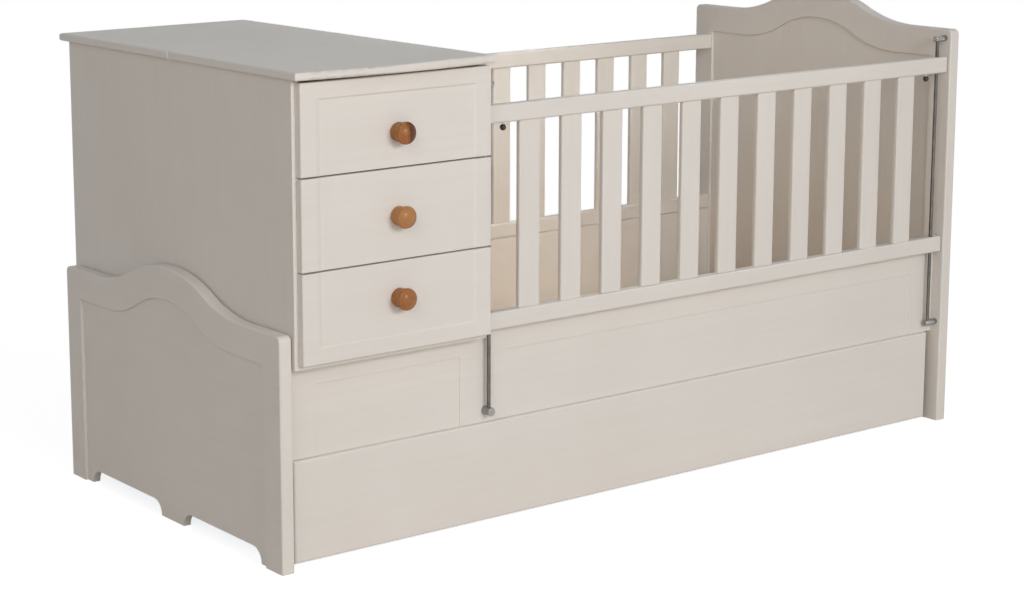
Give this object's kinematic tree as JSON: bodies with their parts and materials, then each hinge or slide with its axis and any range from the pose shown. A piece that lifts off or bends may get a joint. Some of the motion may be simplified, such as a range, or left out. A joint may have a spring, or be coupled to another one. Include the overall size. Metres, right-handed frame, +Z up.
{
  "type": "convertible child bed",
  "caption": "Child bed with a crib section behind a slatted drop side, a drawer chest over the foot end and a roll-out drawer below; high waved headboard.",
  "frame": {"origin": "on the floor, in the middle of the overall outline", "axes": "+X along the bed towards the high headboard, -Y to the front where the drop side and drawers are, +Z up"},
  "size_m": [1.858, 0.9326, 0.983],
  "materials": {
    "lacquer": "cream satin lacquer over board",
    "raw_wood": "planed softwood and beech, clear sealed",
    "white_board": "thin white-faced fibreboard",
    "knob_wood": "turned wood, honey to dark stain, gloss varnish",
    "chrome": "chromed steel, slightly dull",
    "steel": "zinc-plated steel",
    "spring_steel": "plain spring wire",
    "black_plastic": "black gloss moulding",
    "guide_plastic": "natural nylon",
    "wheel_plastic": "dark grey moulded wheel"
  },
  "bodies": {
    "frame": {"footboard": "lacquer", "headboard": "lacquer", "front_panel": "lacquer", "back_panel": "lacquer", "back_top_rail": "lacquer", "back_bottom_rail": "lacquer", "back_slats": "lacquer", "front_bearer": "raw_wood", "back_ledger": "raw_wood", "base_slats": "raw_wood", "crib_end_panel": "lacquer", "dowels": "raw_wood", "guide_rods": "chrome", "rod_fittings": "chrome", "chest_left_front": "lacquer", "chest_left_rear": "lacquer", "chest_right_front": "lacquer", "chest_right_rear": "lacquer", "chest_bottom_front": "lacquer", "chest_bottom_rear": "lacquer", "chest_back_sheets": "white_board", "chest_shelves": "lacquer", "chest_top_front": "lacquer", "chest_top_rear": "lacquer", "drawer_runners": "raw_wood"},
    "drop_side": {"drop_top_rail": "lacquer", "drop_bottom_rail": "lacquer", "drop_slats": "lacquer", "rod_bushings": "guide_plastic"},
    "latch_left": {"latch_left_bolt": "steel", "latch_left_ball": "black_plastic", "latch_left_spring": "spring_steel"},
    "latch_right": {"latch_right_bolt": "steel", "latch_right_ball": "black_plastic", "latch_right_spring": "spring_steel"},
    "roll_out_drawer": {"roll_front": "lacquer", "roll_sides": "lacquer", "roll_back": "lacquer", "roll_base": "white_board", "roll_bearers": "raw_wood", "roll_axles": "steel"},
    "drawer_1": {"drawer1_front": "lacquer", "drawer1_sides": "raw_wood", "drawer1_back": "raw_wood", "drawer1_bottom": "white_board", "drawer1_knob": "knob_wood"},
    "drawer_2": {"drawer2_front": "lacquer", "drawer2_sides": "raw_wood", "drawer2_back": "raw_wood", "drawer2_bottom": "white_board", "drawer2_knob": "knob_wood"},
    "drawer_3": {"drawer3_front": "lacquer", "drawer3_sides": "raw_wood", "drawer3_back": "raw_wood", "drawer3_bottom": "white_board", "drawer3_knob": "knob_wood"},
    "wheel_front_left": {"wheel_front_left": "wheel_plastic"},
    "wheel_front_right": {"wheel_front_right": "wheel_plastic"},
    "wheel_rear_left": {"wheel_rear_left": "wheel_plastic"},
    "wheel_rear_right": {"wheel_rear_right": "wheel_plastic"}
  },
  "joints": [
    {"name": "drop_side_slide", "type": "slide", "parent": "frame", "child": "drop_side", "axis": [0, 0, 1], "range_m": [-0.1574, 0]},
    {"name": "latch_left_pull", "type": "slide", "parent": "drop_side", "child": "latch_left", "axis": [1, 0, 0], "range_m": [0, 0.006], "stiffness_N_per_m": 300, "springref_m": -0.01, "deforming": ["latch_left_spring"]},
    {"name": "latch_right_pull", "type": "slide", "parent": "drop_side", "child": "latch_right", "axis": [-1, 0, 0], "range_m": [0, 0.006], "stiffness_N_per_m": 300, "springref_m": -0.01, "deforming": ["latch_right_spring"]},
    {"name": "drawer_1_slide", "type": "slide", "parent": "frame", "child": "drawer_1", "axis": [0, -1, 0], "range_m": [0, 0.3]},
    {"name": "drawer_2_slide", "type": "slide", "parent": "frame", "child": "drawer_2", "axis": [0, -1, 0], "range_m": [0, 0.3]},
    {"name": "drawer_3_slide", "type": "slide", "parent": "frame", "child": "drawer_3", "axis": [0, -1, 0], "range_m": [0, 0.3]},
    {"name": "roll_out_slide", "type": "slide", "parent": "frame", "child": "roll_out_drawer", "axis": [0, -1, 0], "range_m": [0, 0.6]},
    {"name": "wheel_front_left_spin", "type": "hinge", "parent": "roll_out_drawer", "child": "wheel_front_left", "pos_m": [-0.729, -0.29775, 0.025], "axis": [1, 0, 0], "continuous": true},
    {"name": "wheel_front_right_spin", "type": "hinge", "parent": "roll_out_drawer", "child": "wheel_front_right", "pos_m": [0.724, -0.29775, 0.025], "axis": [1, 0, 0], "continuous": true},
    {"name": "wheel_rear_left_spin", "type": "hinge", "parent": "roll_out_drawer", "child": "wheel_rear_left", "pos_m": [-0.729, 0.29795, 0.025], "axis": [1, 0, 0], "continuous": true},
    {"name": "wheel_rear_right_spin", "type": "hinge", "parent": "roll_out_drawer", "child": "wheel_rear_right", "pos_m": [0.724, 0.29795, 0.025], "axis": [1, 0, 0], "continuous": true}
  ],
  "couplings": [
    {"joint": "wheel_front_left_spin", "follows": "roll_out_slide", "rad_per_m": 40},
    {"joint": "wheel_front_right_spin", "follows": "roll_out_slide", "rad_per_m": 40},
    {"joint": "wheel_rear_left_spin", "follows": "roll_out_slide", "rad_per_m": 40},
    {"joint": "wheel_rear_right_spin", "follows": "roll_out_slide", "rad_per_m": 40}
  ]
}
